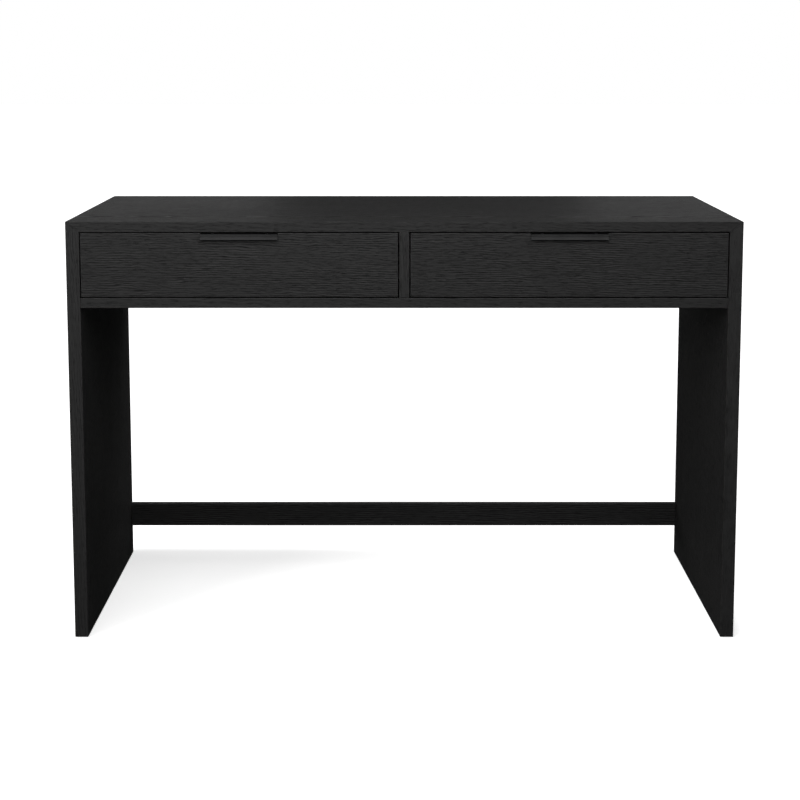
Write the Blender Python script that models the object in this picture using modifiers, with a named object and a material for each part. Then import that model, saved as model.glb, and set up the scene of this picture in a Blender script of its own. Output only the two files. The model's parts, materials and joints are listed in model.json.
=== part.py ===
"""Writing desk with two drawers.

A mitred case on two panel legs, with a stretcher low at the back.  The drawers are inset, each
with a bent metal pull on its top edge, and run on full-extension ball-bearing slides.

Metres, +Z up, +X to the right, -Y to the front.  The origin is on the floor, in the middle of
the footprint with the pulls counted in.
"""

from math import cos, pi, radians, sin

import bmesh
import bpy
from mathutils import Vector

# Desk
DESK_WIDTH = 1.200
DESK_DEPTH = 0.560              # carcass, without the pulls
DESK_HEIGHT = 0.762
SIDE_THICKNESS = 0.024
BOARD_THICKNESS = 0.018         # top, case bottom, divider, back, stretcher, drawer fronts
OPENING_HEIGHT = 0.118
STRETCHER_BOTTOM = 0.064
STRETCHER_HEIGHT = 0.047
EDGE_ROUND = 0.0008
GAP = 0.0003                    # between pieces that touch
MITRE_GAP = 0.0004              # the same gap, measured up the sloping mitre

# Drawers
REVEAL = 0.002                  # shadow gap round a drawer front
BOX_HEIGHT = 0.090
BOX_BOARD = 0.012
BOX_BOTTOM = 0.006
BOX_BOTTOM_LIFT = 0.010         # from the box's lower edge to its bottom board
BOX_EDGE_ROUND = 0.0004
GROOVE_DEPTH = 0.006

# Edge pulls
PULL_LENGTH = 0.137
PULL_PROJECTION = 0.008         # of the lip's lower edge
PULL_LIP = 0.0095               # height
PULL_STEEL = 0.0015
PULL_BEND = 0.0018              # outer radius
PULL_BEND_STEPS = 4
PULL_FLARE = radians(24)        # how far the lip has turned forward at its lower edge
PULL_FLARE_STEPS = 6
PULL_EDGE_ROUND = 0.0004
PULL_SEAT = 0.016               # how far the plate reaches over the drawer front
PULL_DROP = 0.0017              # plate top below the drawer front's top edge
PULL_SCREW_OFFSET = 0.048       # from the pull's middle

# Slides, as distances from the wall that the case rail is screwed to
SLIDE_LENGTH = 0.450
SLIDE_WIDTH = 0.0127
SLIDE_LIFT = 0.053              # from the case floor up to the slides' middle
SLIDE_SETBACK = 0.002           # from a drawer box's front end to its slides' front end
RAIL_STEEL = 0.0012
CASE_RAIL_HALF = 0.0225
CASE_RAIL_REACH = 0.0100
MIDDLE_RAIL_FOOT = 0.0026
MIDDLE_RAIL_HALF = 0.0177
MIDDLE_RAIL_REACH = 0.0107
DRAWER_RAIL_FOOT = 0.0053
DRAWER_RAIL_HALF = 0.0130
RAIL_HOLES = (0.035, 0.227, 0.419)      # from a rail's front end
RAIL_HOLE_RADIUS = 0.0022
RAIL_EDGE_ROUND = 0.0003

# Ball cages: half of a slide's length, so that they stay between their rails when open
CAGE_LENGTH = 0.220
CAGE_BALLS = 3                  # along each flange
OUTER_CAGE = {"foot": 0.0018, "reach": 0.0090, "half": 0.0200, "web": 0.0005,
              "flange": 0.0010, "ball": 0.0015, "track": 0.0060}
INNER_CAGE = {"foot": 0.0041, "reach": 0.0100, "half": 0.01515, "web": 0.0005,
              "flange": 0.0008, "ball": 0.00145, "track": 0.0075}

# Screws: head, top of head and shank radii, and lengths below the head's seat
COUNTERSUNK = {"head": 0.0033, "shank": 0.0016, "cone": 0.0017, "length": 0.0150, "point": 0.002,
               "recess_arm": 0.0017, "recess_width": 0.0008, "recess_depth": 0.0010}
PAN_HEAD = {"head": 0.0040, "crown": 0.0030, "rise": 0.0022, "shank": 0.0019, "length": 0.0250,
            "point": 0.002, "recess_arm": 0.0022, "recess_width": 0.0009, "recess_depth": 0.0012}
PAN_SCREW_OFFSET = 0.180        # from the drawer's middle
PILOT_LENGTH = 0.0140           # into a drawer front from behind

# Fittings
GLIDE_RADIUS = 0.009
GLIDE_HEIGHT = 0.002
GLIDE_PIN_RADIUS = 0.0015
GLIDE_PIN_LENGTH = 0.012
GLIDE_EASE = 0.0005
GLIDE_INSET = 0.030             # from the front and back edges
CAM_RADIUS = 0.0075
CAM_DEPTH = 0.0125
CAM_INSET = 0.034               # from the side panel's inner face
CAM_END_INSET = 0.070           # from the front and back edges
CAM_EASE = 0.0004
CAM_RECESS = {"arm": 0.0035, "width": 0.0014, "depth": 0.0020}

CUTTER_LEAD = 0.001             # how far a cutter stands out of the face it enters
WELD = 0.00001                  # points closer than this are one point
ORIGIN_MARK = 0.03              # size of the cross that marks a moving body's origin
DISC_SEGMENTS = 20
SCREW_SEGMENTS = 16
HOLE_SEGMENTS = 12

# Worked out from the above
FRONT_Y = (PULL_PROJECTION - DESK_DEPTH) / 2
BACK_Y = FRONT_Y + DESK_DEPTH
OUTER_X = DESK_WIDTH / 2
INNER_X = OUTER_X - SIDE_THICKNESS
CASE_TOP = DESK_HEIGHT - BOARD_THICKNESS
CASE_FLOOR = CASE_TOP - OPENING_HEIGHT
CASE_UNDERSIDE = CASE_FLOOR - BOARD_THICKNESS
DIVIDER_X = BOARD_THICKNESS / 2
BOX_FRONT_Y = FRONT_Y + BOARD_THICKNESS + GAP
BOX_BACK_Y = BOX_FRONT_Y + SLIDE_LENGTH
SLIDE_Z = CASE_FLOOR + SLIDE_LIFT
SLIDE_SPACE = SLIDE_WIDTH + GAP
SLIDE_FRONT_Y = BOX_FRONT_Y + SLIDE_SETBACK

# Colour, roughness and metallic value of each finish
FINISHES = {
    "black_oak": ((0.026, 0.026, 0.027), 0.52, 0.0),
    "drawer_board": ((0.060, 0.057, 0.054), 0.60, 0.0),
    "black_metal": ((0.022, 0.022, 0.023), 0.38, 0.9),
    "zinc_steel": ((0.56, 0.57, 0.58), 0.32, 1.0),
    "ball_cage": ((0.42, 0.40, 0.36), 0.45, 0.6),
    "cam_zinc": ((0.45, 0.45, 0.46), 0.42, 1.0),
    "nylon": ((0.030, 0.030, 0.032), 0.65, 0.0),
}

ALONG_X = (radians(90), 0.0, radians(90))      # outline in YZ, extruded along X
ALONG_Y = (radians(90), 0.0, 0.0)              # outline in XZ, extruded along Y
ALONG_Z = (0.0, 0.0, 0.0)                      # outline in XY, extruded along Z

UP = Vector((0, 0, 1))
DOWN = Vector((0, 0, -1))
FORWARD = Vector((0, -1, 0))
BACKWARD = Vector((0, 1, 0))

SIDES = (("left", -1), ("right", 1))

for thing in list(bpy.data.objects):
    bpy.data.objects.remove(thing, do_unlink=True)
desk = bpy.data.collections.new("writing_desk")
cutters = bpy.data.collections.new("cutters")
for collection in (desk, cutters):
    bpy.context.scene.collection.children.link(collection)


def new_material(name, finish):
    colour, roughness, metallic = FINISHES[finish]
    material = bpy.data.materials.new(f"{name}_{finish}")
    material.use_nodes = True
    shader = material.node_tree.nodes["Principled BSDF"]
    shader.inputs["Base Color"].default_value = (*colour, 1.0)
    shader.inputs["Roughness"].default_value = roughness
    shader.inputs["Metallic"].default_value = metallic
    material.diffuse_color = (*colour, 1.0)
    return material


def place(thing, centre, parent):
    """Puts an object at a point of the desk's frame, whatever it is parented to."""
    thing.parent = parent
    offset = parent.location if parent else Vector((0, 0, 0))
    thing.location = Vector(centre) - offset


def add_piece(name, mesh, finish, centre, parent=None, rotation=ALONG_Z):
    mesh.materials.append(new_material(name, finish))
    piece = bpy.data.objects.new(name, mesh)
    desk.objects.link(piece)
    piece.rotation_euler = rotation
    place(piece, centre, parent)
    return piece


def combine(piece, mesh, centre, rotation=ALONG_Z, operation="DIFFERENCE"):
    """Cuts a closed mesh out of a piece, or joins it on, by a Boolean with a hidden cutter."""
    cutter = bpy.data.objects.new(f"{piece.name}_cutter_{len(piece.modifiers)}", mesh)
    cutters.objects.link(cutter)
    cutter.rotation_euler = rotation
    cutter.hide_render = True
    cutter.display_type = "WIRE"
    place(cutter, centre, piece.parent)
    boolean = piece.modifiers.new(operation.lower(), "BOOLEAN")
    boolean.operation = operation
    boolean.solver = "EXACT"
    boolean.object = cutter


def body_origin(name, point):
    """The empty that a moving body's pieces hang from, on its slide axis."""
    empty = bpy.data.objects.new(name, None)
    desk.objects.link(empty)
    empty.empty_display_size = ORIGIN_MARK
    empty.location = point
    return empty


def box_mesh(name, size):
    mesh = bpy.data.meshes.new(name)
    bm = bmesh.new()
    bmesh.ops.create_cube(bm, size=1.0)
    bmesh.ops.scale(bm, vec=size, verts=bm.verts)
    bm.to_mesh(mesh)
    bm.free()
    return mesh


def cone_mesh(name, low_radius, high_radius, length, segments=SCREW_SEGMENTS):
    """A cone frustum, or a cylinder, along Z."""
    mesh = bpy.data.meshes.new(name)
    bm = bmesh.new()
    bmesh.ops.create_cone(bm, cap_ends=True, segments=segments, depth=length,
                          radius1=low_radius, radius2=high_radius)
    bm.to_mesh(mesh)
    bm.free()
    return mesh


def outline_mesh(name, outline, length):
    """A flat outline in XY, extruded to both sides along Z, as one welded mesh."""
    curve = bpy.data.curves.new(name, "CURVE")
    curve.dimensions = "2D"
    curve.fill_mode = "BOTH"
    curve.extrude = length / 2
    spline = curve.splines.new("POLY")
    spline.points.add(len(outline) - 1)
    for point, (u, v) in zip(spline.points, outline):
        point.co = (u, v, 0.0, 1.0)
    spline.use_cyclic_u = True
    holder = bpy.data.objects.new(name, curve)
    bpy.context.scene.collection.objects.link(holder)
    evaluated = holder.evaluated_get(bpy.context.evaluated_depsgraph_get())
    mesh = bpy.data.meshes.new_from_object(evaluated)
    bpy.data.objects.remove(holder)
    bm = bmesh.new()
    bm.from_mesh(mesh)
    bmesh.ops.remove_doubles(bm, verts=bm.verts, dist=WELD)
    bmesh.ops.recalc_face_normals(bm, faces=bm.faces)
    bm.to_mesh(mesh)
    bm.free()
    mesh.name = name
    return mesh


def round_edges(piece, width, segments=2, angle=60):
    bevel = piece.modifiers.new("round", "BEVEL")
    bevel.width = width
    bevel.segments = segments
    bevel.limit_method = "ANGLE"
    bevel.angle_limit = radians(angle)


def round_square_edges(piece, width):
    """Rounds the edges between the axis-aligned faces, and leaves a mitre's edges sharp."""
    bm = bmesh.new()
    bm.from_mesh(piece.data)
    weights = bm.edges.layers.float.new("bevel_weight_edge")
    for edge in bm.edges:
        normals = [face.normal for face in edge.link_faces]
        square = all(max(abs(value) for value in normal) > 0.999 for normal in normals)
        turns = abs(normals[0].dot(normals[1])) < 0.5
        edge[weights] = 1.0 if square and turns else 0.0
    bm.to_mesh(piece.data)
    bm.free()
    bevel = piece.modifiers.new("round", "BEVEL")
    bevel.width = width
    bevel.segments = 2
    bevel.limit_method = "WEIGHT"


def board(name, low, high, finish, parent=None, ease=EDGE_ROUND):
    """A flat board between two corners, its edges eased."""
    low, high = Vector(low), Vector(high)
    piece = add_piece(name, box_mesh(name, high - low), finish, (low + high) / 2, parent)
    round_edges(piece, ease, segments=2 if ease == EDGE_ROUND else 1)
    return piece


def axis_rotation(axis):
    """The rotation that turns +Z towards axis."""
    return UP.rotation_difference(axis).to_euler()


def drill(piece, mouth, axis, radius, depth, segments=HOLE_SEGMENTS):
    """A round hole from a point on the surface, going in along axis."""
    mesh = cone_mesh("drill", radius, radius, depth + CUTTER_LEAD, segments)
    combine(piece, mesh, Vector(mouth) + axis * (depth - CUTTER_LEAD) / 2, axis_rotation(axis))


def turned(name, profile, finish, centre, axis, parent=None, segments=SCREW_SEGMENTS):
    """A turned piece: (radius, height) points from the top of its axis down to the bottom."""
    mesh = bpy.data.meshes.new(name)
    points = [(radius, 0.0, height) for radius, height in profile]
    mesh.from_pydata(points, [(i, i + 1) for i in range(len(points) - 1)], [])
    piece = add_piece(name, mesh, finish, centre, parent, axis_rotation(axis))
    screw = piece.modifiers.new("turn", "SCREW")
    screw.angle = 2 * pi
    screw.steps = segments
    screw.render_steps = segments
    screw.use_merge_vertices = True
    screw.merge_threshold = WELD
    screw.use_smooth_shade = True
    return piece


def cross_recess(piece, face, axis, arm, width, depth):
    """A driver's cross sunk into a round head, whose outer face looks along axis."""
    root = width / 2
    tip = 0.8 * root
    outline = [(root, root), (tip, arm), (-tip, arm), (-root, root), (-arm, tip), (-arm, -tip),
               (-root, -root), (-tip, -arm), (tip, -arm), (root, -root), (arm, -tip), (arm, tip)]
    mesh = outline_mesh("recess", outline, depth + CUTTER_LEAD)
    combine(piece, mesh, Vector(face) - axis * (depth - CUTTER_LEAD) / 2, axis_rotation(axis))


# ---------------------------------------------------------------- case and legs

def case_panels():
    """The top and the two leg panels, mitred together along their upper edges."""
    middle_y = (FRONT_Y + BACK_Y) / 2
    outline = [(-OUTER_X, DESK_HEIGHT), (-INNER_X, CASE_TOP), (INNER_X, CASE_TOP),
               (OUTER_X, DESK_HEIGHT)]
    mesh = outline_mesh("top_panel", outline, DESK_DEPTH)
    panel = add_piece("top_panel", mesh, "black_oak", (0, middle_y, 0), rotation=ALONG_Y)
    round_square_edges(panel, EDGE_ROUND)
    for side, sign in SIDES:
        name = f"{side}_side_panel"
        outline = [(sign * OUTER_X, GLIDE_HEIGHT), (sign * INNER_X, GLIDE_HEIGHT),
                   (sign * INNER_X, CASE_TOP - MITRE_GAP), (sign * OUTER_X, DESK_HEIGHT - MITRE_GAP)]
        mesh = outline_mesh(name, outline, DESK_DEPTH)
        panel = add_piece(name, mesh, "black_oak", (0, middle_y, 0), rotation=ALONG_Y)
        round_square_edges(panel, EDGE_ROUND)
        x = sign * (OUTER_X + INNER_X) / 2
        for end, y in (("front", FRONT_Y + GLIDE_INSET), ("rear", BACK_Y - GLIDE_INSET)):
            drill(panel, (x, y, GLIDE_HEIGHT), UP, GLIDE_PIN_RADIUS + GAP, GLIDE_PIN_LENGTH + GAP)
            foot_glide(f"{side}_{end}_foot_glide", x, y)


def foot_glide(name, x, y):
    """A round glide with its nail, pressed into a leg panel's lower edge."""
    disc_top = GLIDE_HEIGHT - GAP
    pin_top = GLIDE_HEIGHT + GLIDE_PIN_LENGTH
    profile = [(0, pin_top), (GLIDE_PIN_RADIUS, pin_top), (GLIDE_PIN_RADIUS, disc_top),
               (GLIDE_RADIUS, disc_top), (GLIDE_RADIUS, GLIDE_EASE),
               (GLIDE_RADIUS - GLIDE_EASE, 0), (0, 0)]
    turned(name, profile, "nylon", (x, y, 0), UP, segments=DISC_SEGMENTS)


def case_boards():
    """The boards between the legs: case bottom, divider, back and stretcher."""
    reach = INNER_X - GAP
    bottom = board("case_bottom_panel", (-reach, FRONT_Y, CASE_UNDERSIDE),
                   (reach, BACK_Y, CASE_FLOOR), "black_oak")
    board("case_back_panel", (-reach, BACK_Y - BOARD_THICKNESS, CASE_FLOOR + GAP),
          (reach, BACK_Y, CASE_TOP - GAP), "black_oak")
    board("centre_divider", (-DIVIDER_X, FRONT_Y, CASE_FLOOR + GAP),
          (DIVIDER_X, BACK_Y - BOARD_THICKNESS - GAP, CASE_TOP - GAP), "black_oak")
    stretcher = board("rear_stretcher", (-reach, BACK_Y - BOARD_THICKNESS, STRETCHER_BOTTOM),
                      (reach, BACK_Y, STRETCHER_BOTTOM + STRETCHER_HEIGHT), "black_oak")
    for side, sign in SIDES:
        x = sign * (INNER_X - CAM_INSET)
        cam_lock(f"{side}_stretcher_cam_lock", stretcher,
                 (x, BACK_Y, STRETCHER_BOTTOM + STRETCHER_HEIGHT / 2), BACKWARD)
        for end, y in (("front", FRONT_Y + CAM_END_INSET), ("rear", BACK_Y - CAM_END_INSET)):
            cam_lock(f"{side}_{end}_case_cam_lock", bottom, (x, y, CASE_UNDERSIDE), DOWN)


def cam_lock(name, host, face, outward):
    """A cam lock let into a board, its slotted face flush with the board's surface."""
    drill(host, face, -outward, CAM_RADIUS + GAP, CAM_DEPTH + GAP, segments=DISC_SEGMENTS)
    profile = [(0, 0), (CAM_RADIUS - CAM_EASE, 0), (CAM_RADIUS, -CAM_EASE),
               (CAM_RADIUS, -CAM_DEPTH), (0, -CAM_DEPTH)]
    cam = turned(name, profile, "cam_zinc", face, outward, segments=DISC_SEGMENTS)
    cross_recess(cam, face, outward, **CAM_RECESS)


# ---------------------------------------------------------------- slides

def channel(foot, reach, half, web, flange):
    """Outline of a rolled channel: its web at foot, its two flanges running to reach."""
    inner = foot + web if reach > foot else foot - web
    return [(foot, -half), (reach, -half), (reach, flange - half), (inner, flange - half),
            (inner, half - flange), (reach, half - flange), (reach, half), (foot, half)]


def mirrored(outline, sign):
    return [(sign * u, v) for u, v in outline]


def rail(name, outline, wall_x, inward, parent, web_at=None):
    """One slide member; one that is screwed on has holes in its web, web_at from the wall."""
    mesh = outline_mesh(name, mirrored(outline, inward), SLIDE_LENGTH)
    centre = (wall_x, SLIDE_FRONT_Y + SLIDE_LENGTH / 2, SLIDE_Z)
    piece = add_piece(name, mesh, "zinc_steel", centre, parent, ALONG_Y)
    round_edges(piece, RAIL_EDGE_ROUND, segments=1)
    if web_at is None:
        return
    for distance in RAIL_HOLES:
        mouth = (wall_x + inward * web_at, SLIDE_FRONT_Y + distance, SLIDE_Z)
        drill(piece, mouth, Vector((inward, 0, 0)), RAIL_HOLE_RADIUS, 2 * RAIL_STEEL)


def ball_cage(name, cage, wall_x, inward, parent):
    """A thin channel between two rails, with its balls held in both flanges."""
    outline = channel(cage["foot"], cage["reach"], cage["half"], cage["web"], cage["flange"])
    mesh = outline_mesh(name, mirrored(outline, inward), CAGE_LENGTH)
    middle_y = SLIDE_FRONT_Y + SLIDE_LENGTH / 2
    piece = add_piece(name, mesh, "ball_cage", (wall_x, middle_y, SLIDE_Z), parent, ALONG_Y)
    ball_z = cage["half"] - cage["flange"] / 2
    pitch = CAGE_LENGTH / CAGE_BALLS
    balls = bpy.data.meshes.new("balls")
    bm = bmesh.new()
    for index in range(CAGE_BALLS):
        y = (index - (CAGE_BALLS - 1) / 2) * pitch
        for z in (-ball_z, ball_z):
            made = bmesh.ops.create_uvsphere(bm, u_segments=8, v_segments=4, radius=cage["ball"])
            bmesh.ops.translate(bm, verts=made["verts"], vec=(inward * cage["track"], y, z))
    bm.to_mesh(balls)
    bm.free()
    combine(piece, balls, (wall_x, middle_y, SLIDE_Z), operation="UNION")


def slide(drawer, side, wall_x, inward, bodies):
    """A three-member slide between a case wall and a drawer's side."""
    name = f"{drawer}_drawer_{side}"
    case_rail = channel(GAP, CASE_RAIL_REACH, CASE_RAIL_HALF, RAIL_STEEL, RAIL_STEEL)
    middle_rail = channel(MIDDLE_RAIL_FOOT, MIDDLE_RAIL_REACH, MIDDLE_RAIL_HALF, RAIL_STEEL,
                          RAIL_STEEL)
    drawer_rail = channel(SLIDE_WIDTH, DRAWER_RAIL_FOOT, DRAWER_RAIL_HALF, RAIL_STEEL, RAIL_STEEL)
    rail(f"{name}_case_rail", case_rail, wall_x, inward, None, GAP)
    ball_cage(f"{name}_outer_cage", OUTER_CAGE, wall_x, inward, bodies["outer"])
    rail(f"{name}_middle_rail", middle_rail, wall_x, inward, bodies["middle"])
    ball_cage(f"{name}_inner_cage", INNER_CAGE, wall_x, inward, bodies["inner"])
    rail(f"{name}_drawer_rail", drawer_rail, wall_x, inward, bodies["drawer"],
         SLIDE_WIDTH - RAIL_STEEL)


# ---------------------------------------------------------------- drawers

def drawer_box(name, left, right, parent):
    """Four boards grooved for the bottom, and the bottom let into them; returns the front one."""
    low = SLIDE_Z - BOX_HEIGHT / 2
    high = SLIDE_Z + BOX_HEIGHT / 2
    bottom_z = low + BOX_BOTTOM_LIFT
    groove_low = bottom_z - GAP
    groove_high = bottom_z + BOX_BOTTOM + GAP

    def grooved(outer, inner):
        """Outline of a board with a groove in its inner face."""
        root = inner + (GROOVE_DEPTH if outer > inner else -GROOVE_DEPTH)
        return [(outer, low), (inner, low), (inner, groove_low), (root, groove_low),
                (root, groove_high), (inner, groove_high), (inner, high), (outer, high)]

    def wall(wall_name, outer, inner, length, centre, rotation):
        mesh = outline_mesh(wall_name, grooved(outer, inner), length)
        piece = add_piece(wall_name, mesh, "drawer_board", centre, parent, rotation)
        round_edges(piece, BOX_EDGE_ROUND, segments=1)
        return piece

    middle_x = (left + right) / 2
    middle_y = (BOX_FRONT_Y + BOX_BACK_Y) / 2
    inner_left = left + BOX_BOARD
    inner_right = right - BOX_BOARD
    inner_width = inner_right - inner_left
    inner_length = SLIDE_LENGTH - 2 * BOX_BOARD
    for side, outer, inner in (("left", left, inner_left), ("right", right, inner_right)):
        wall(f"{name}_box_{side}_side", outer, inner, SLIDE_LENGTH, (0, middle_y, 0), ALONG_Y)
    wall(f"{name}_box_back", BOX_BACK_Y, BOX_BACK_Y - BOX_BOARD, inner_width - 2 * GAP,
         (middle_x, 0, 0), ALONG_X)

    tongue = GROOVE_DEPTH - GAP
    bottom_low = (inner_left - tongue, middle_y - inner_length / 2 - tongue, bottom_z)
    bottom_high = (inner_right + tongue, middle_y + inner_length / 2 + tongue,
                   bottom_z + BOX_BOTTOM)
    board(f"{name}_box_bottom", bottom_low, bottom_high, "drawer_board", parent, BOX_EDGE_ROUND)
    return wall(f"{name}_box_front", BOX_FRONT_Y, BOX_FRONT_Y + BOX_BOARD,
                inner_width - 2 * GAP, (middle_x, 0, 0), ALONG_X)


def edge_pull(name, middle_x, top_z, parent):
    """A bent plate: flat over the drawer front's top edge, then down to a lip that flares out."""
    flare_radius = (PULL_LIP - PULL_BEND) / sin(PULL_FLARE)
    neck_y = FRONT_Y - PULL_PROJECTION + flare_radius * (1 - cos(PULL_FLARE))
    neck_z = top_z - PULL_BEND

    def arc(radius, first, last, steps):
        """Points on the outer face, on an arc through the neck, and which way the face looks."""
        points = []
        for step in range(steps + 1):
            angle = first + (last - first) * step / steps
            away = Vector((cos(angle), sin(angle)))
            points.append((Vector((neck_y + radius, neck_z)) + radius * away, away))
        return points

    outer = [(Vector((FRONT_Y + PULL_SEAT, top_z)), Vector((0, 1)))]
    outer += arc(PULL_BEND, radians(90), radians(180), PULL_BEND_STEPS)
    outer += arc(-flare_radius, radians(180), radians(180) - PULL_FLARE, PULL_FLARE_STEPS)[1:]
    inner = [point - PULL_STEEL * away for point, away in outer]
    outline = [point for point, away in outer] + inner[::-1]
    mesh = outline_mesh(name, outline, PULL_LENGTH)
    piece = add_piece(name, mesh, "black_metal", (middle_x, 0, 0), parent, ALONG_X)
    round_edges(piece, PULL_EDGE_ROUND, angle=70)
    return piece


def countersunk_screw(name, face, axis, parent):
    """A countersunk screw, its head flush with face; axis points out of its head."""
    size = COUNTERSUNK
    profile = [(0, 0), (size["head"], 0), (size["shank"], -size["cone"]),
               (size["shank"], size["point"] - size["length"]), (0, -size["length"])]
    screw = turned(name, profile, "zinc_steel", face, axis, parent)
    cross_recess(screw, face, axis, size["recess_arm"], size["recess_width"],
                 size["recess_depth"])


def pan_screw(name, seat, axis, parent):
    """A pan-head screw; seat is where its head meets the board, and axis points out of it."""
    size = PAN_HEAD
    crown_height = GAP + size["rise"]
    profile = [(0, crown_height), (size["crown"], crown_height),
               (size["head"], GAP + size["rise"] / 2), (size["head"], GAP), (size["shank"], GAP),
               (size["shank"], size["point"] - size["length"]), (0, -size["length"])]
    screw = turned(name, profile, "zinc_steel", seat, axis, parent)
    cross_recess(screw, Vector(seat) + axis * crown_height, axis, size["recess_arm"],
                 size["recess_width"], size["recess_depth"])


def drawer(side, left_wall, right_wall):
    """One drawer, with its slides, in the opening between two walls."""
    name = f"{side}_drawer"
    middle_x = (left_wall + right_wall) / 2
    axis_point = (middle_x, FRONT_Y, SLIDE_Z)
    bodies = {
        "drawer": body_origin(f"{name}_origin", axis_point),
        "middle": body_origin(f"{name}_middle_rails_origin", axis_point),
        "outer": body_origin(f"{name}_outer_cages_origin", axis_point),
        "inner": body_origin(f"{name}_inner_cages_origin", axis_point),
    }
    slide(side, "left", left_wall, 1, bodies)
    slide(side, "right", right_wall, -1, bodies)

    parent = bodies["drawer"]
    front_top = CASE_TOP - REVEAL
    front = board(f"{name}_front", (left_wall + REVEAL, FRONT_Y, CASE_FLOOR + REVEAL),
                  (right_wall - REVEAL, FRONT_Y + BOARD_THICKNESS, front_top), "black_oak", parent)
    box_front = drawer_box(name, left_wall + SLIDE_SPACE, right_wall - SLIDE_SPACE, parent)

    pull_top = front_top - PULL_DROP
    seat_z = pull_top - PULL_STEEL - GAP
    rebate_low = Vector((middle_x - PULL_LENGTH / 2 - GAP, FRONT_Y - CUTTER_LEAD, seat_z))
    rebate_high = Vector((middle_x + PULL_LENGTH / 2 + GAP, FRONT_Y + PULL_SEAT + GAP,
                          front_top + CUTTER_LEAD))
    combine(front, box_mesh("rebate", rebate_high - rebate_low), (rebate_low + rebate_high) / 2)
    pull = edge_pull(f"{name}_edge_pull", middle_x, pull_top, parent)

    for hand, sign in SIDES:
        head = Vector((middle_x + sign * PULL_SCREW_OFFSET, FRONT_Y + PULL_SEAT / 2, pull_top))
        pull_screw(f"{name}_pull_{hand}_screw", head, seat_z, pull, front, parent)
        fixing_x = middle_x + sign * PAN_SCREW_OFFSET
        seat = (fixing_x, BOX_FRONT_Y + BOX_BOARD, SLIDE_Z)
        clear_radius = PAN_HEAD["shank"] + GAP
        drill(box_front, seat, FORWARD, clear_radius, 2 * BOX_BOARD)
        drill(front, (fixing_x, FRONT_Y + BOARD_THICKNESS, SLIDE_Z), FORWARD, clear_radius,
              PILOT_LENGTH)
        pan_screw(f"{name}_front_{hand}_screw", seat, BACKWARD, parent)


def pull_screw(name, head, seat_z, pull, front, parent):
    """A countersunk screw down through a pull's plate into the drawer front's top edge."""
    clear_radius = COUNTERSUNK["shank"] + GAP
    head_radius = COUNTERSUNK["head"] + 2 * GAP
    rise = head_radius - clear_radius
    countersink = cone_mesh("countersink", clear_radius, head_radius, rise)
    combine(pull, countersink, head + UP * (GAP - rise / 2))
    drill(pull, head, DOWN, clear_radius, 2 * PULL_STEEL, SCREW_SEGMENTS)
    drill(front, (head.x, head.y, seat_z), DOWN, clear_radius, COUNTERSUNK["length"])
    countersunk_screw(name, head, UP, parent)


case_panels()
case_boards()
drawer("left", -INNER_X, -DIVIDER_X)
drawer("right", DIVIDER_X, INNER_X)
bpy.context.view_layer.update()
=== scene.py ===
"""The looks of the writing desk with two drawers: materials, small visible fittings and studio.

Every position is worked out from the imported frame.  Metres, +Z up, -Y to the front.
"""

import json
from math import acos, cos, pi, radians, sin

import bmesh
import bpy
from mathutils import Matrix, Vector


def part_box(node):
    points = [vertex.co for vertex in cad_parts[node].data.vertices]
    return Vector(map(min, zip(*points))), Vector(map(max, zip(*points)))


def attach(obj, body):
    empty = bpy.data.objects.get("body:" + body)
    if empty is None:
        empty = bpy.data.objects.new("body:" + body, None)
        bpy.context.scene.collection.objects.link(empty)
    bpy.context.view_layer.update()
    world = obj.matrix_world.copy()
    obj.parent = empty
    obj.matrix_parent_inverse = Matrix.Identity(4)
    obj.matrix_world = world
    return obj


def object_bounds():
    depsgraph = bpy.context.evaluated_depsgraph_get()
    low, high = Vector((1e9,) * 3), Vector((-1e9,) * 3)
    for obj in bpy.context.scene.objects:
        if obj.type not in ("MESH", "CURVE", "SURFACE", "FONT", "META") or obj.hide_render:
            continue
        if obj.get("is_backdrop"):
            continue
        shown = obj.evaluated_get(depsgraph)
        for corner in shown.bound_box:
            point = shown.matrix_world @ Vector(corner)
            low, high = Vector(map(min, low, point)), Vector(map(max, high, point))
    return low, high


# Camera: where it stands from the middle of the desk's front, and how it looks
CAMERA_RIGHT = -0.0077
CAMERA_AWAY = 3.160
CAMERA_HEIGHT = 1.0676
CAMERA_PITCH = radians(7.76)
CAMERA_LENS = 80.8
CAMERA_SHIFT = -0.135

NOISE_SPAN = (0.3, 0.7)         # most of a noise's values lie between these

# Oak: colours
OAK_LIGHT = (0.0395, 0.0393, 0.0393)
OAK_DARK = (0.0060, 0.0059, 0.0060)
OAK_FIBRE = (0.0400, 0.0395, 0.0390)
OAK_PORE = (0.0050, 0.0050, 0.0050)
# lighter edges: partly real wear, partly a painted highlight on the rounded arrises
OAK_WEAR_AND_HIGHLIGHT = (0.0550, 0.0530, 0.0510)

# Oak: its growth rings
LINE_SPACING = 0.0041
LINE_WANDER = 0.012             # how far a line strays across the grain, slowly
LINE_RIPPLE = 0.0018            # and quickly
LINE_JITTER = 8.0               # radians by which a growth ring strays from even spacing
LINE_DEPTH = (0.10, 0.5)        # how far tone swings from ring to ring, in faint and strong streaks
PATCH_DEPTH = (0.35, 1.25)      # that is multiplied by this, in faint and in strong patches
LOG_TILT = 0.05                 # slope of a board to the log's heart, which makes the arches
EDGE_CALM = 0.25                # how much of the figure a board's banded edges show
BOARD_SHIFT = 3.7               # between one board's figure and the next's

# Oak: noise scales along the grain, across it and into the board
WANDER_SCALE = (1.3, 7.0, 7.0)
RIPPLE_SCALE = (18.0, 70.0, 70.0)
TONE_SCALE = (1.6, 14.0, 14.0)
FIBRE_SCALE = (12.0, 560.0, 560.0)
PORE_SCALE = (60.0, 1700.0, 1700.0)
PORE_LEVEL = 0.66               # noise above it is a pore
PORE_GATHER = 0.12              # how far the level drops in a dark line
PORE_RIM = 0.07                 # how far above it a pore is full

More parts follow.
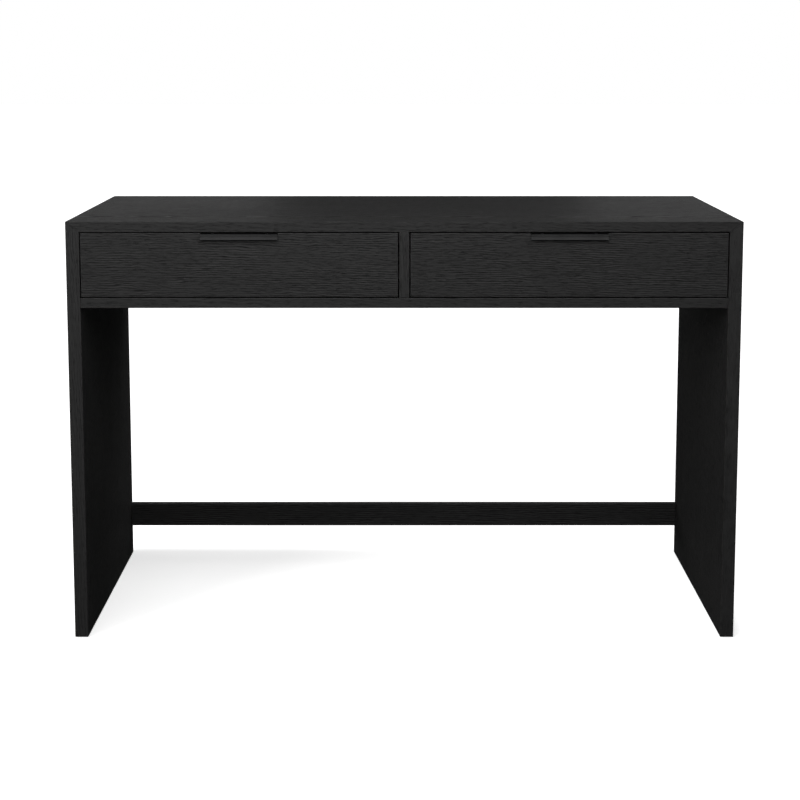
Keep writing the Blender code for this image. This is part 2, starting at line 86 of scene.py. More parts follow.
# Oak: noise scales along the grain, outwards from the log's heart and from board to board
UNEVEN_SCALE = (34.0, 130.0, 1.0)
STREAK_SCALE = (22.0, 240.0, 1.0)
PATCH_SCALE = (11.0, 26.0, 1.0)

# Oak: what each layer does to colour, roughness and height
OAK_COVER = {"fibres": 0.35, "tone": 0.12, "pores": 0.70, "worn": 0.30}
OAK_ROUGH = {"plain": 0.44, "lines": 0.12, "smudges": 0.05, "pores": 0.25, "worn": 0.10}
OAK_HEIGHT = {"pores": -1.0, "fibres": 0.30, "lines": -0.50}
OAK_RELIEF = 0.00030
WEAR_AND_HIGHLIGHT_EDGE = (0.0016, 0.0002)    # distances from an edge where wear and a painted edge highlight begin and are full

# Drawer ply: noise scales by direction, the distance between two dark plies, and colours
PLY_FIGURE = {"along": 6.0, "across": 300.0, "deep": 300.0}
PLY_PITCH = 0.0034
PLY_CHARCOAL = (0.040, 0.038, 0.036)
PLY_GREY = (0.066, 0.062, 0.058)
PLY_MOTTLE = (0.046, 0.044, 0.042)
PLY_DARK = (0.020, 0.018, 0.016)

# Metals and nylon
COAT_DARK = (0.0105, 0.0105, 0.0109)
COAT_LIGHT = (0.0160, 0.0160, 0.0164)
NYLON_DARK = (0.020, 0.020, 0.021)
NYLON_LIGHT = (0.034, 0.034, 0.036)
SPANGLE_SHADE = 0.86            # a dull patch of zinc, as a share of its tint
ROLLING_SCALE = (1400.0, 9.0, 1400.0)       # of the fine lines along a rail

# Fittings of the drawer slides
WELD = 0.000001
RAIL_STEEL = 0.0012
RAIL_HOLE_MIDDLE = 0.227        # from a rail's front end to its middle hole
RAIL_HOLE_STEP = 0.192
LEVER_PLACE = 0.150
CAP_LENGTH = 0.0012             # of the cap over a case rail's front end
NECK_RADIUS = 0.0019
HEAD_STEPS = 5
HEAD_SEGMENTS = 24
FLAT_HEAD = (0.0021, 0.0004)    # a screw head's radius and rise
ROUND_HEAD = (0.0034, 0.0010)
RIM_SHARE = 0.35                # of a domed head's rise that is there at its rim
RECESS_ARM = 0.0016
RECESS_WIDTH = 0.0007
RECESS_DEPTH = 0.0006
SCREW_TURN = 0.7                # radians from one screw's cross to the next's

# Release lever, from its rivet at the origin to its ribbed tip
LEVER_NECK = (0.030, -0.0034)
LEVER_TIP = (0.048, -0.0012)
RIVET_END, NECK_END, TIP_END = 0.0046, 0.0026, 0.0036       # radii of its outline
LEVER_THICK = 0.0022
GRIP_THICK = 0.0030
RIB_COUNT = 4
RIB_FIRST = 0.0400
RIB_STEP = 0.0022
RIB_RADIUS = 0.0005
RIB_REACH = (-0.0042, 0.0012)
RIB_RISE = 0.0006
RIVET_RADIUS = 0.0022
RIVET_RISE = 0.0012
OVERLAP = 0.0004                # how far joined shapes run into each other

GLUE_SETBACK = 0.001            # of the glue round the case back, from the board's faces

# Floor: its grey as the camera sees it, and as it lights the desk from below
FLOOR_SIZE = 60.0
FLOOR_SEEN = 0.95
FLOOR_DIM = 0.05
SHADOW_GLOW = 0.60              # its own glow under the desk, lower there as a painted shadow; it is 1 elsewhere
SHADOW_REACH = 0.06             # how far from the desk it has grown to 1

# Sky, as a light: the heights between which it brightens, and its light at both
SKY_HEIGHTS = (0.12, 0.95)
SKY_LIGHT = (0.005, 0.20)

# Sun on the floor: which way its light travels, and how wide it is
SUN_PATH = (0.66, 0.75, -0.47)
SUN_WIDTH = radians(22)

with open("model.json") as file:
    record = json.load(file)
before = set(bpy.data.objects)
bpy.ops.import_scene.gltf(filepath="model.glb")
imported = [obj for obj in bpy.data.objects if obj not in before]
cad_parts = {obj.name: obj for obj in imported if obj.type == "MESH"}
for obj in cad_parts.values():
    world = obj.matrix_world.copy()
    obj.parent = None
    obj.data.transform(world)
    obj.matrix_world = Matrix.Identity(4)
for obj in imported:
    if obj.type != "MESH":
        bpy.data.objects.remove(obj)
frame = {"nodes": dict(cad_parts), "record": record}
cad_low, cad_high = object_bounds()
nodes = frame["nodes"]


# ---------------------------------------------------------------- node helpers

def feed_socket(tree, socket, value):
    """Links another socket to this one, or sets its plain value."""
    if isinstance(value, bpy.types.NodeSocket):
        tree.links.new(value, socket)
    else:
        socket.default_value = value


def add(tree, kind, sockets=(), **settings):
    """Adds a shader node, and feeds its sockets."""
    made = tree.nodes.new("ShaderNode" + kind)
    for name, value in settings.items():
        setattr(made, name, value)
    for key, value in dict(sockets).items():
        feed_socket(tree, made.inputs[key], value)
    return made


def feed(tree, shader, **sockets):
    """Feeds the shader's sockets; names use _ for a space."""
    for key, value in sockets.items():
        feed_socket(tree, shader.inputs[key.replace("_", " ")], value)


def maths(tree, operation, *values):
    return add(tree, "Math", enumerate(values), operation=operation).outputs[0]


def times_plus(tree, value, factor, addend):
    return maths(tree, "MULTIPLY_ADD", value, factor, addend)


def stretched(tree, vector, scale):
    made = add(tree, "VectorMath", {0: vector, 1: scale}, operation="MULTIPLY")
    return made.outputs[0]


def split(tree, vector):
    return add(tree, "SeparateXYZ", {0: vector}).outputs


def joined(tree, *values):
    return add(tree, "CombineXYZ", enumerate(values)).outputs[0]


def noise(tree, vector, scale=1.0, detail=2.0):
    sockets = {"Vector": vector, "Scale": scale, "Detail": detail}
    return add(tree, "TexNoise", sockets).outputs["Fac"]


def ramp(tree, value, low, high, to_low=0.0, to_high=1.0):
    """Maps low..high to to_low..to_high with soft ends."""
    sockets = {"Value": value, "From Min": low, "From Max": high, "To Min": to_low,
               "To Max": to_high}
    return add(tree, "MapRange", sockets, interpolation_type="SMOOTHSTEP").outputs["Result"]


def identified(sockets, identifier):
    """The right one of the sockets that a Mix node has under the same name."""
    return next(socket for socket in sockets if socket.identifier == identifier)


def blend_colours(tree, factor, first, second):
    made = add(tree, "Mix", {"Factor": factor}, data_type="RGBA")
    for identifier, colour in (("A_Color", first), ("B_Color", second)):
        value = (*colour, 1.0) if isinstance(colour, tuple) else colour
        feed_socket(tree, identified(made.inputs, identifier), value)
    return identified(made.outputs, "Result_Color")


def bump(tree, height, distance):
    return add(tree, "Bump", {"Height": height, "Distance": distance}).outputs["Normal"]


def new_material(name):
    material = bpy.data.materials.new(name)
    material.use_nodes = True
    tree = material.node_tree
    shader = tree.nodes["Principled BSDF"]
    position = add(tree, "TexCoord").outputs["Object"]
    return material, tree, shader, position


def facing(tree, axis):
    """How squarely a surface looks along an axis, from 0 to 1."""
    normal = add(tree, "TexCoord").outputs["Normal"]
    return maths(tree, "ABSOLUTE", split(tree, normal)[axis])


# ---------------------------------------------------------------- wood

def wood_pattern():
    """Node group: grain lines, pores, fibres and tone of a board with its grain along X."""
    group = bpy.data.node_groups.new("wood_pattern", "ShaderNodeTree")
    group.interface.new_socket("Position", in_out="INPUT", socket_type="NodeSocketVector")
    group.interface.new_socket("Shift", in_out="INPUT", socket_type="NodeSocketFloat")
    for name in ("Lines", "Pores", "Fibres", "Tone"):
        group.interface.new_socket(name, in_out="OUTPUT", socket_type="NodeSocketFloat")
    position, shift = group.nodes.new("NodeGroupInput").outputs[:2]
    parts = split(group, position)
    own_place = joined(group, shift)
    grain = add(group, "VectorMath", {0: position, 1: own_place}, operation="ADD").outputs[0]

    # distance from the log's heart, with the grain's wandering
    wander = noise(group, stretched(group, grain, WANDER_SCALE), detail=1.0)
    ripple = noise(group, stretched(group, grain, RIPPLE_SCALE))
    sway = times_plus(group, wander, 2 * LINE_WANDER, -LINE_WANDER)
    sway = times_plus(group, ripple, 2 * LINE_RIPPLE, sway)
    across = maths(group, "ADD", parts["Y"], sway)
    deep = times_plus(group, parts["X"], LOG_TILT, parts["Z"])
    radius = maths(group, "SQRT", maths(group, "ADD", maths(group, "MULTIPLY", across, across),
                                        maths(group, "MULTIPLY", deep, deep)))

    # growth rings at that distance, uneven in spacing and in strength
    along_rings = joined(group, split(group, grain)["X"], radius, shift)
    uneven = noise(group, stretched(group, along_rings, UNEVEN_SCALE), detail=1.0)
    phase = maths(group, "MULTIPLY", radius, 2 * pi / LINE_SPACING)
    rings = maths(group, "SINE", times_plus(group, uneven, LINE_JITTER, phase))
    streaks = noise(group, stretched(group, along_rings, STREAK_SCALE))
    patches = noise(group, stretched(group, along_rings, PATCH_SCALE), detail=1.0)
    depth = maths(group, "MULTIPLY", ramp(group, streaks, 0.30, 0.62, *LINE_DEPTH),
                  ramp(group, patches, 0.36, 0.62, *PATCH_DEPTH))
    lines = times_plus(group, rings, depth, 0.5)

    fine = noise(group, stretched(group, grain, PORE_SCALE), detail=1.0)
    level = times_plus(group, lines, -PORE_GATHER, PORE_LEVEL)
    pores = ramp(group, maths(group, "SUBTRACT", fine, level), 0.0, PORE_RIM)
    fibres = noise(group, stretched(group, grain, FIBRE_SCALE), detail=3.0)
    tone = noise(group, stretched(group, grain, TONE_SCALE), detail=3.0)
    out = group.nodes.new("NodeGroupOutput")
    for name, value in (("Lines", lines), ("Pores", pores), ("Fibres", fibres), ("Tone", tone)):
        group.links.new(value, out.inputs[name])
    return group


def edge_distance(tree, position, low, high):
    """Distance from a surface point of a board to the nearest of the board's long edges."""
    parts = split(tree, position)
    distances = []
    for axis, a, b in zip("XYZ", low, high):
        from_low = maths(tree, "SUBTRACT", parts[axis], a)
        from_high = maths(tree, "SUBTRACT", b, parts[axis])
        distances.append(maths(tree, "MINIMUM", from_low, from_high))
    x, y, z = distances
    total = maths(tree, "ADD", maths(tree, "ADD", x, y), z)
    least = maths(tree, "MINIMUM", maths(tree, "MINIMUM", x, y), z)
    most = maths(tree, "MAXIMUM", maths(tree, "MAXIMUM", x, y), z)
    return maths(tree, "SUBTRACT", maths(tree, "SUBTRACT", total, least), most)


def grain_position(tree, position, axes, low, high, log):
    """A board's coordinates with its grain along X, its width along Y, its thickness along Z."""
    parts = split(tree, position)
    centre = dict(zip("XYZ", (low + high) / 2))
    offsets = zip(axes, (0.0, *log))
    return joined(tree, *(maths(tree, "ADD", parts[axis], offset - centre[axis])
                          for axis, offset in offsets))


def oak_material(node, axes, log, shift):
    """Black-stained open-grain oak for one board; axes are its grain, width and thickness."""
    material, tree, shader, position = new_material(f"black_oak_{node}")
    low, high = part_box(node)
    grain = grain_position(tree, position, axes, low, high, log)
    pattern = add(tree, "Group", {"Position": grain, "Shift": shift}, node_tree=oak_pattern)
    lines, pores, fibres, tone = pattern.outputs
    calm = ramp(tree, facing(tree, axes[2]), 0.3, 0.9, EDGE_CALM)
    lines = times_plus(tree, maths(tree, "SUBTRACT", lines, 0.5), calm, 0.5)
    patchy = noise(tree, position, scale=38.0, detail=3.0)
    # lighter, rougher edges in patches: partly wear, partly a painted highlight along the arrises
    worn = maths(tree, "MULTIPLY", ramp(tree, edge_distance(tree, position, low, high), *WEAR_AND_HIGHLIGHT_EDGE),
                 ramp(tree, patchy, 0.42, 0.66))
    smudges = ramp(tree, noise(tree, position, scale=4.5, detail=3.0), 0.35, 0.7)

    colour = blend_colours(tree, lines, OAK_LIGHT, OAK_DARK)
    cover = ramp(tree, fibres, 0.35, 0.75, to_high=OAK_COVER["fibres"])
    colour = blend_colours(tree, cover, colour, OAK_FIBRE)
    cover = ramp(tree, tone, *NOISE_SPAN, to_high=OAK_COVER["tone"])
    colour = blend_colours(tree, cover, colour, OAK_DARK)
    cover = maths(tree, "MULTIPLY", pores, OAK_COVER["pores"])
    colour = blend_colours(tree, cover, colour, OAK_PORE)
    # edges lightened by wear and by a painted edge highlight
    cover = maths(tree, "MULTIPLY", worn, OAK_COVER["worn"])
    colour = blend_colours(tree, cover, colour, OAK_WEAR_AND_HIGHLIGHT)

    rough = OAK_ROUGH["plain"]
    for name, layer in (("lines", lines), ("smudges", smudges), ("pores", pores), ("worn", worn)):
        rough = times_plus(tree, layer, OAK_ROUGH[name], rough)
    height = 0.0
    for name, layer in (("fibres", fibres), ("pores", pores), ("lines", lines)):
        height = times_plus(tree, layer, OAK_HEIGHT[name], height)
    feed(tree, shader, Base_Color=colour, Roughness=rough, Normal=bump(tree, height, OAK_RELIEF),
         Specular_IOR_Level=0.30)
    return material


def paint(node, material):
    """Gives a CAD node its finished material."""
    slots = nodes[node].material_slots
    for slot in slots:
        slot.material = material
    if not slots:
        nodes[node].data.materials.append(material)


oak_pattern = wood_pattern()

# Board: grain, width and thickness axes, and where it lies across and deep in the log
BOARDS = {
    "top_panel": ("XYZ", (0.180, 0.070)),
    "left_side_panel": ("ZYX", (0.320, 0.060)),
    "right_side_panel": ("ZYX", (-0.340, 0.075)),
    "case_bottom_panel": ("XYZ", (0.330, 0.050)),
    "centre_divider": ("ZYX", (0.350, 0.060)),
    "case_back_panel": ("XZY", (0.300, 0.060)),
    "rear_stretcher": ("XZY", (0.260, 0.080)),
    "left_drawer_front": ("XZY", (0.260, 0.060)),
    "right_drawer_front": ("XZY", (0.310, 0.050)),
}
for index, (board, (axes, log)) in enumerate(BOARDS.items()):
    paint(board, oak_material(board, axes, log, BOARD_SHIFT * index))


# ---------------------------------------------------------------- other materials

def drawer_board_material(grain_axis, thickness_axis):
    """Charcoal-stained ply, with its plies showing on the edges."""
    material, tree, shader, position = new_material(f"charcoal_ply_{thickness_axis.lower()}")
    scales = {axis: PLY_FIGURE["across"] for axis in "XYZ"}
    scales[grain_axis] = PLY_FIGURE["along"]
    scales[thickness_axis] = PLY_FIGURE["deep"]
    grain = noise(tree, stretched(tree, position, tuple(scales.values())), detail=4.0)
    mottle = noise(tree, position, scale=7.0, detail=3.0)
    deep = split(tree, position)[thickness_axis]
    plies = maths(tree, "SINE", maths(tree, "MULTIPLY", deep, 2 * pi / PLY_PITCH))
    on_edge = ramp(tree, facing(tree, thickness_axis), 0.7, 0.2)
    dark_plies = maths(tree, "MULTIPLY", on_edge, ramp(tree, plies, -0.2, 0.4, to_high=0.75))

    colour = blend_colours(tree, ramp(tree, grain, *NOISE_SPAN), PLY_CHARCOAL, PLY_GREY)
    colour = blend_colours(tree, ramp(tree, mottle, 0.3, 0.75, to_high=0.4), colour, PLY_MOTTLE)
    colour = blend_colours(tree, dark_plies, colour, PLY_DARK)
    rough = times_plus(tree, grain, 0.15, 0.50)
    rough = times_plus(tree, dark_plies, 0.15, rough)
    height = times_plus(tree, dark_plies, -0.3, grain)
    feed(tree, shader, Base_Color=colour, Roughness=rough, Normal=bump(tree, height, 0.0002),
         Specular_IOR_Level=0.35)
    return material


def powder_coat():
    material, tree, shader, position = new_material("black_powder_coat")
    peel = noise(tree, position, scale=900.0)
    cloud = noise(tree, position, scale=30.0)
    colour = blend_colours(tree, ramp(tree, cloud, *NOISE_SPAN), COAT_DARK, COAT_LIGHT)
    rough = times_plus(tree, peel, 0.14, 0.46)
    feed(tree, shader, Base_Color=colour, Roughness=rough, Normal=bump(tree, peel, 0.00012),
         Specular_IOR_Level=0.25)
    return material


def zinc(name, tint, smoothest):
    """Plated steel with the faint lines of rolling along it."""
    material, tree, shader, position = new_material(name)
    lines = noise(tree, stretched(tree, position, ROLLING_SCALE))
    spangle = noise(tree, position, scale=120.0)
    dull = tuple(SPANGLE_SHADE * value for value in tint)
    colour = blend_colours(tree, ramp(tree, spangle, *NOISE_SPAN), dull, tint)
    rough = times_plus(tree, lines, 0.22, smoothest)
    feed(tree, shader, Base_Color=colour, Roughness=rough, Metallic=0.75,
         Normal=bump(tree, lines, 0.00004))
    return material


def nylon():
    material, tree, shader, position = new_material("moulded_nylon")
    grain = noise(tree, position, scale=1300.0, detail=1.0)
    colour = blend_colours(tree, grain, NYLON_DARK, NYLON_LIGHT)
    rough = times_plus(tree, grain, 0.2, 0.5)
    feed(tree, shader, Base_Color=colour, Roughness=rough, Normal=bump(tree, grain, 0.00005))
    return material


FINISHES = {
    "black_metal": powder_coat(),
    "slide_zinc": zinc("slide_zinc", (0.62, 0.63, 0.64), 0.24),
    "screw_steel": zinc("screw_zinc", (0.56, 0.57, 0.60), 0.22),
    "ball_cage": zinc("cage_steel", (0.46, 0.43, 0.38), 0.34),
    "cam_zinc": zinc("cam_zinc", (0.48, 0.48, 0.49), 0.36),
    "nylon": nylon(),
}
DRAWER_BOARDS = {                # by the axis of a board's thickness
    "X": drawer_board_material("Y", "X"),
    "Y": drawer_board_material("X", "Y"),
    "Z": drawer_board_material("Y", "Z"),
}
for part in frame["record"]["subparts"]:
    if part["material_slot"] in FINISHES:
        paint(part["node"], FINISHES[part["material_slot"]])
    elif part["material_slot"] == "drawer_board":
        low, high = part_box(part["node"])
        thinnest = min(zip(high - low, "XYZ"))[1]
        paint(part["node"], DRAWER_BOARDS[thinnest])


# ---------------------------------------------------------------- mesh helpers

def mesh_of(name, bm):
    bmesh.ops.recalc_face_normals(bm, faces=bm.faces)
    mesh = bpy.data.meshes.new(name)
    bm.to_mesh(mesh)
    bm.free()
    return mesh


def smoothed(mesh):
    mesh.shade_smooth()
    mesh.set_sharp_from_angle(angle=radians(35))
    return mesh


def combined(first, second, operation):
    """The first closed mesh with the second joined on, or cut out of it."""
    made = [bpy.data.objects.new(mesh.name, mesh) for mesh in (first, second)]
    for shape in made:
        bpy.context.scene.collection.objects.link(shape)
    change = made[0].modifiers.new("change", "BOOLEAN")
    change.operation = operation
    change.object = made[1]
    bm = bmesh.new()
    bm.from_object(made[0], bpy.context.evaluated_depsgraph_get())
    bmesh.ops.remove_doubles(bm, verts=bm.verts, dist=WELD)
    bmesh.ops.dissolve_degenerate(bm, dist=WELD, edges=bm.edges)
    for shape in made:
        bpy.data.objects.remove(shape)
    return mesh_of(first.name, bm)


def prism(name, outline, bottom, top):
    """A closed outline in XY, drawn up from bottom to top."""
    bm = bmesh.new()
    base = bm.faces.new([bm.verts.new((x, y, bottom)) for x, y in outline])
    drawn = bmesh.ops.extrude_face_region(bm, geom=[base])["geom"]
    risen = [part for part in drawn if isinstance(part, bmesh.types.BMVert)]
    bmesh.ops.translate(bm, verts=risen, vec=(0.0, 0.0, top - bottom))
    return mesh_of(name, bm)


def turned(name, profile):
    """A profile of radius and height, turned about Z; it starts and ends on the axis."""
    bm = bmesh.new()
    points = [bm.verts.new((radius, 0.0, height)) for radius, height in profile]
    edges = [bm.edges.new(pair) for pair in zip(points, points[1:])]
    bmesh.ops.spin(bm, geom=points + edges, cent=(0, 0, 0), axis=(0, 0, 1), angle=2 * pi,
                   steps=HEAD_SEGMENTS)
    bmesh.ops.remove_doubles(bm, verts=bm.verts, dist=WELD)
    return mesh_of(name, bm)


def capsule(start, start_radius, end, end_radius, steps=8):
    """The outline round two circles and the tangents between them."""
    along = Vector(end) - Vector(start)
    base = along.angle_signed(Vector((1.0, 0.0)))
    touch = acos((start_radius - end_radius) / along.length)
    outline = []
    for centre, radius, first, last in ((start, start_radius, touch, 2 * pi - touch),
                                        (end, end_radius, -touch, touch)):
        for step in range(steps + 1):
            angle = base + first + (last - first) * step / steps
            outline.append((centre[0] + radius * cos(angle), centre[1] + radius * sin(angle)))
    return outline


def new_piece(name, mesh, slot, body, place=(0.0, 0.0, 0.0), turn=(0.0, 0.0, 0.0)):
    """A piece that moves with a body and takes its finish from a slot."""
    piece = bpy.data.objects.new(name, mesh)
    bpy.context.scene.collection.objects.link(piece)
    piece.location = place
    piece.rotation_euler = turn
    if not mesh.materials:
        mesh.materials.append(FINISHES[slot])
    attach(piece, body)
    return piece


# ---------------------------------------------------------------- slide fittings

def crown(radius, rise):
    """The domed profile of a head, from its middle to its rim."""
    angles = [radians(90) * step / HEAD_STEPS for step in range(HEAD_STEPS + 1)]
    return [(radius * sin(angle), rise * (RIM_SHARE + (1 - RIM_SHARE) * cos(angle)))
            for angle in angles]


def cross_head(radius, rise):
    """A low screw head with a cross recess, its seat at height 0 and its neck in the hole."""
    head = turned("head", [*crown(radius, rise), (radius, 0.0), (NECK_RADIUS, 0.0),
                           (NECK_RADIUS, -RAIL_STEEL), (0.0, -RAIL_STEEL)])
    arm, half = RECESS_ARM, RECESS_WIDTH / 2
    quarter = [Vector(point) for point in ((arm, -half), (arm, half), (half, half))]
    turns = [Matrix.Rotation(radians(90) * turn, 2) for turn in range(4)]
    cross = prism("recess", [turn @ point for turn in turns for point in quarter],
                  rise - RECESS_DEPTH, rise + RECESS_DEPTH)
    return combined(head, cross, "DIFFERENCE")


def row_of_screws(name, radius, rise):
    """Three screw heads in line with a rail's holes, all looking along +X."""
    head = cross_head(radius, rise)
    bm = bmesh.new()
    for index, offset in enumerate((-RAIL_HOLE_STEP, 0.0, RAIL_HOLE_STEP)):
        first = len(bm.verts)
        bm.from_mesh(head)
        bm.verts.ensure_lookup_table()
        turn = Matrix.Rotation(radians(90), 4, "Y") @ Matrix.Rotation(SCREW_TURN * index, 4, "Z")
        bmesh.ops.transform(bm, matrix=Matrix.Translation((0.0, offset, 0.0)) @ turn,
                            verts=bm.verts[first:])
    return smoothed(mesh_of(name, bm))


def release_lever():
    """The moulded lever that frees a drawer from its slide; it lies in XY and looks along +Z."""
    lever = prism("release_lever", capsule((0.0, 0.0), RIVET_END, LEVER_NECK, NECK_END),
                  0.0, LEVER_THICK)
    shapes = [prism("grip", capsule(LEVER_NECK, NECK_END, LEVER_TIP, TIP_END), OVERLAP / 2,
                    GRIP_THICK)]
    for place in range(RIB_COUNT):
        ends = [(RIB_FIRST + RIB_STEP * place, y) for y in RIB_REACH]
        shapes.append(prism("rib", capsule(ends[0], RIB_RADIUS, ends[1], RIB_RADIUS, steps=4),
                            GRIP_THICK - OVERLAP, GRIP_THICK + RIB_RISE))
    dome = [(radius, LEVER_THICK + height) for radius, height in crown(RIVET_RADIUS, RIVET_RISE)]
    shapes.append(turned("rivet", [*dome, (RIVET_RADIUS, LEVER_THICK - OVERLAP),
                                   (0.0, LEVER_THICK - OVERLAP)]))
    for shape in shapes:
        lever = combined(lever, shape, "UNION")
    return smoothed(lever)


def rail_cap():
    """The plastic cap on a case rail's front end, with the rail's own C section."""
    low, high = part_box("left_drawer_left_case_rail")
    reach, half = high.x - low.x, (high.z - low.z) / 2
    inner = half - RAIL_STEEL
    upper = [(RAIL_STEEL, inner), (reach, inner), (reach, half), (0.0, half)]
    lower = [(x, -y) for x, y in reversed(upper)]
    return prism("case_rail_cap", [*upper, *lower], -CAP_LENGTH / 2, CAP_LENGTH / 2)


def slide_fittings():
    """Screws and an end cap on every case rail, screws and a release lever on every drawer rail."""
    flat_heads = row_of_screws("case_rail_screws", *FLAT_HEAD)
    round_heads = row_of_screws("drawer_rail_screws", *ROUND_HEAD)
    lever = release_lever()
    cap = rail_cap()
    pieces = []
    for drawer in ("left_drawer", "right_drawer"):
        for hand, inward in (("left", 1), ("right", -1)):
            case_low, case_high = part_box(f"{drawer}_{hand}_case_rail")
            rail_low, rail_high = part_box(f"{drawer}_{hand}_drawer_rail")
            middle = (rail_low.z + rail_high.z) / 2
            wall_x = case_low.x if inward > 0 else case_high.x
            web_x = rail_high.x - RAIL_STEEL if inward > 0 else rail_low.x + RAIL_STEEL
            seat_x = wall_x + inward * (RAIL_STEEL - FLAT_HEAD[1])
            to_box = radians(0 if inward > 0 else 180)          # turns +X towards the drawer box
            for name, mesh, slot, body, place, turn in (
                ("case_rail_screws", flat_heads, "screw_steel", "carcass",
                 (seat_x, case_low.y + RAIL_HOLE_MIDDLE, middle), (0.0, 0.0, to_box)),
                ("case_rail_cap", cap, "nylon", "carcass",
                 (wall_x, case_low.y - CAP_LENGTH / 2, middle), (radians(90), 0.0, to_box)),
                ("drawer_rail_screws", round_heads, "screw_steel", drawer,
                 (web_x, rail_low.y + RAIL_HOLE_MIDDLE, middle), (0.0, 0.0, to_box + pi)),
                ("release_lever", lever, "nylon", drawer,
                 (web_x, rail_low.y + LEVER_PLACE, middle), (inward * pi / 2, 0.0, -pi / 2)),
            ):
                pieces.append(new_piece(f"{drawer}_{hand}_{name}", mesh, slot, body, place, turn))
    return pieces


# ---------------------------------------------------------------- glue

def rectangle(left, bottom, right, top):
    return [(left, bottom), (right, bottom), (right, top), (left, top)]


def back_glue_line():
    """The dark line of glue round the case back, where it meets the boards that hold it."""
    low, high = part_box("case_back_panel")
    opening = rectangle(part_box("left_side_panel")[1].x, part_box("case_bottom_panel")[1].z,
                        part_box("right_side_panel")[0].x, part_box("top_panel")[0].z)
    front, back = low.y + GLUE_SETBACK, high.y - GLUE_SETBACK
    glue = prism("case_back_glue_line", opening, -back, -front)
    board = prism("board", rectangle(low.x, low.z, high.x, high.z), -high.y, -low.y)
    line = combined(glue, board, "DIFFERENCE")
    line.materials.append(nodes["case_back_panel"].material_slots[0].material)
    return new_piece("case_back_glue_line", line, "black_oak", "carcass",
                     turn=(radians(90), 0.0, 0.0))


fittings = [*slide_fittings(), back_glue_line()]


# ---------------------------------------------------------------- studio

def grey(level):
    return (level, level, level, 1.0)


def by_camera(tree, unseen, seen):
    """One shader for what the camera sees directly, another for all other light."""
    direct = add(tree, "LightPath").outputs["Is Camera Ray"]
    return add(tree, "MixShader", {0: direct, 1: unseen, 2: seen}).outputs[0]


def pale_floor():
    """White to the camera, with a soft light shadow that is partly cast by the sun and partly
    painted as a lower glow under the desk; dim as a source of light from below.
    """
    bpy.ops.mesh.primitive_plane_add(size=FLOOR_SIZE, location=(0.0, 0.0, 0.0))
    floor = bpy.context.object
    floor.name = "floor"
    material = bpy.data.materials.new("floor_white")
    material.use_nodes = True
    tree = material.node_tree
    tree.nodes.clear()
    position = add(tree, "TexCoord").outputs["Object"]
    folded = add(tree, "VectorMath", {0: position}, operation="ABSOLUTE").outputs[0]
    outside = add(tree, "VectorMath", {0: folded, 1: cad_high}, operation="SUBTRACT").outputs[0]
    outside = add(tree, "VectorMath", {0: outside}, operation="MAXIMUM").outputs[0]
    away = add(tree, "VectorMath", {0: outside}, operation="LENGTH").outputs["Value"]
    # painted shadow: the glow is lower under the desk and grows to 1 beyond it
    level = ramp(tree, away, 0.0, SHADOW_REACH, SHADOW_GLOW)
    glow = add(tree, "Emission", {"Color": grey(1.0), "Strength": level}).outputs[0]
    matt = add(tree, "BsdfDiffuse", {"Color": grey(FLOOR_SEEN)}).outputs[0]
    dim = add(tree, "BsdfDiffuse", {"Color": grey(FLOOR_DIM)}).outputs[0]
    shown = add(tree, "AddShader", {0: matt, 1: glow}).outputs[0]
    out = tree.nodes.new("ShaderNodeOutputMaterial")
    tree.links.new(by_camera(tree, dim, shown), out.inputs["Surface"])
    floor.data.materials.append(material)
    floor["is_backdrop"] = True
    return floor


def studio_world():
    """White to the camera; as a light, soft from above and dark towards the horizon."""
    world = bpy.data.worlds.new("studio")
    world.use_nodes = True
    bpy.context.scene.world = world
    tree = world.node_tree
    tree.nodes.clear()
    direction = add(tree, "TexCoord").outputs["Generated"]
    level = ramp(tree, split(tree, direction)["Z"], *SKY_HEIGHTS, *SKY_LIGHT)
    light = add(tree, "Background", {"Color": grey(1.0), "Strength": level}).outputs[0]
    white = add(tree, "Background", {"Color": grey(1.0), "Strength": 1.0}).outputs[0]
    out = tree.nodes.new("ShaderNodeOutputWorld")
    tree.links.new(by_camera(tree, light, white), out.inputs["Surface"])


def lamp_object(name, light, place, aim):
    """A lamp that looks along aim and that the camera doesn't see."""
    lamp = bpy.data.objects.new(name, light)
    bpy.context.scene.collection.objects.link(lamp)
    lamp.location = place
    lamp.rotation_euler = Vector(aim).to_track_quat("-Z", "Y").to_euler()
    lamp.visible_camera = False
    return lamp


def soft_box(name, place, target, width, height, power):
    """A rectangle of light, turned to a target."""
    light = bpy.data.lights.new(name, "AREA")
    light.shape = "RECTANGLE"
    light.size = width
    light.size_y = height
    light.energy = power
    return lamp_object(name, light, place, Vector(target) - Vector(place))


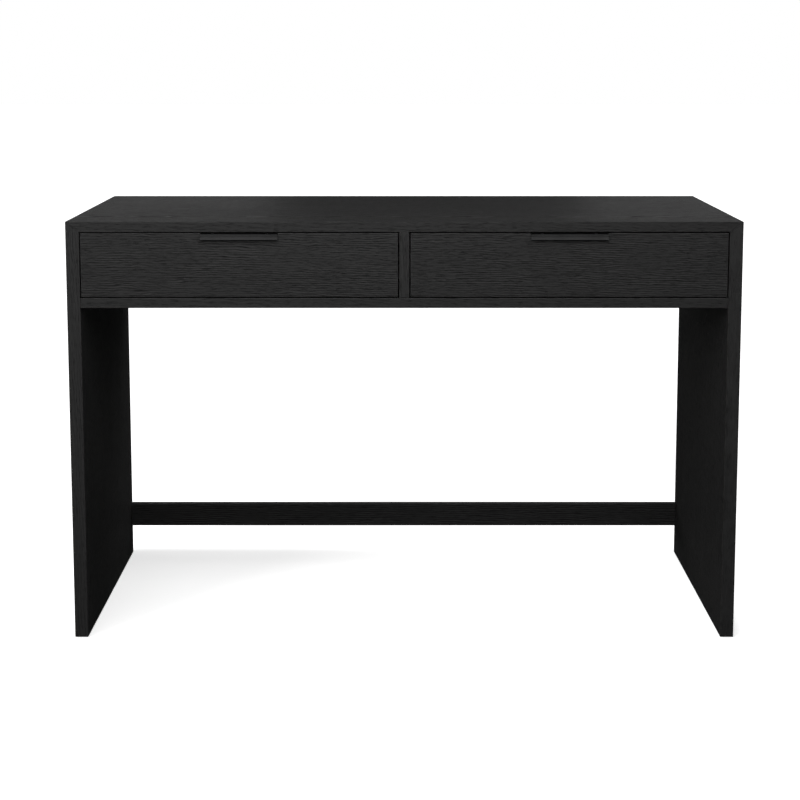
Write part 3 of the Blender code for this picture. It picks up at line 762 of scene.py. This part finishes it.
def soft_sun(name, path, width, power):
    """Even light with soft shadows, travelling along path."""
    light = bpy.data.lights.new(name, "SUN")
    light.angle = width
    light.energy = power
    return lamp_object(name, light, (0.0, 0.0, 0.0), path)


def light_only(lamps, pieces):
    """Keeps the light of some lamps for some pieces."""
    lit = bpy.data.collections.new(f"lit_by_{lamps[0].name}")
    for piece in pieces:
        lit.objects.link(piece)
    for lamp in lamps:
        lamp.light_linking.receiver_collection = lit


def studio_lamps(floor):
    """A key and a fill in front, and two cards behind that lighten the ends of the top.

    The lamps at the side and the back light the desk alone, and the sun lights the floor alone.
    """
    soft_box("key", place=(-0.14, -1.75, 1.80), target=(0.02, 0.0, 0.50), width=2.4, height=1.6,
             power=35.5)
    soft_box("fill", place=(-2.6, -2.0, 0.9), target=(0.0, 0.0, 0.4), width=1.2, height=1.0,
             power=14.0)
    soft_box("card_left", place=(-0.60, 0.75, 1.00), target=(-0.60, 0.0, 0.75), width=0.60,
             height=0.36, power=0.225)
    soft_box("card_right", place=(0.75, 0.75, 1.00), target=(0.75, 0.0, 0.75), width=0.66,
             height=0.36, power=0.215)
    side = soft_box("side", place=(3.0, 0.4, 1.6), target=(0.6, 0.0, 0.4), width=1.6, height=1.2,
                    power=50.0)
    back = soft_box("back", place=(-0.6, 3.2, 1.1), target=(0.0, 0.3, 0.4), width=2.0, height=1.2,
                    power=40.0)
    back.visible_glossy = False
    light_only([side, back], [*nodes.values(), *fittings])
    light_only([soft_sun("sun", SUN_PATH, SUN_WIDTH, power=1.9)], [floor])


def camera():
    data = bpy.data.cameras.new("camera")
    data.lens = CAMERA_LENS
    data.shift_y = CAMERA_SHIFT
    made = bpy.data.objects.new("camera", data)
    bpy.context.scene.collection.objects.link(made)
    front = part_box("left_side_panel")[0].y
    made.location = (CAMERA_RIGHT, front - CAMERA_AWAY, CAMERA_HEIGHT)
    made.rotation_euler = (radians(90) - CAMERA_PITCH, 0.0, 0.0)
    bpy.context.scene.camera = made


studio_world()
studio_lamps(pale_floor())
camera()
bpy.context.scene.view_settings.view_transform = "Standard"

low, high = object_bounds()
